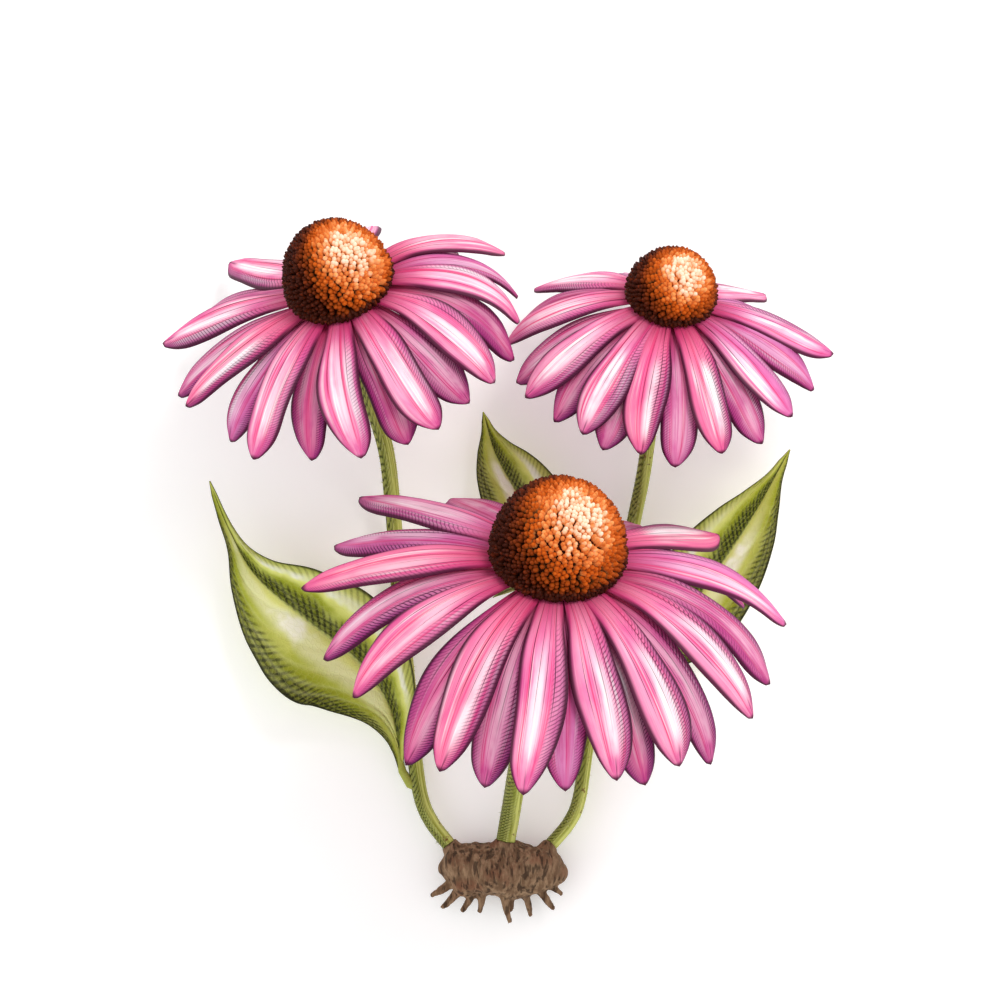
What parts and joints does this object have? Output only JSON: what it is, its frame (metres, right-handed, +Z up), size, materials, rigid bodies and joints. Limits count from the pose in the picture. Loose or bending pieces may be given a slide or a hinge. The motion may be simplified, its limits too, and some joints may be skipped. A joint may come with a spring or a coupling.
{
  "type": "purple coneflower plant",
  "caption": "Coneflower plant lying on its back: pink drooping rays round domed orange-brown cones, on round green stems with pointed folded leaves and a small woody crown.",
  "frame": {"origin": "centre of the plant's footprint on the surface that it lies on", "axes": "+Y from the crown toward the upper blooms, along the drawing's height; +X to the drawing's right; +Z up from the surface, toward the drawing's viewer"},
  "size_m": [0.1613, 0.1706, 0.0985],
  "materials": {
    "ray_pink": "soft petal pink to magenta with pale stripes along each ray",
    "cone_orange": "matt burnt orange florets, dark brown between and at the base",
    "leaf_green": "satin yellow-green leaf with paler veins",
    "stem_green": "satin olive green, finely ribbed",
    "bract_green": "matt dark green",
    "crown_bark": "matt brown root bark"
  },
  "bodies": {
    "root": {"crown": "crown_bark", "stem_left": "stem_green", "stem_front": "stem_green", "stem_right": "stem_green", "bracts_left": "bract_green", "bracts_front": "bract_green", "bracts_right": "bract_green", "rays_left": "ray_pink", "rays_front": "ray_pink", "rays_right": "ray_pink", "cone_left": "cone_orange", "cone_front": "cone_orange", "cone_right": "cone_orange", "leaf_left": "leaf_green", "leaf_middle": "leaf_green", "leaf_right": "leaf_green"}
  },
  "joints": []
}
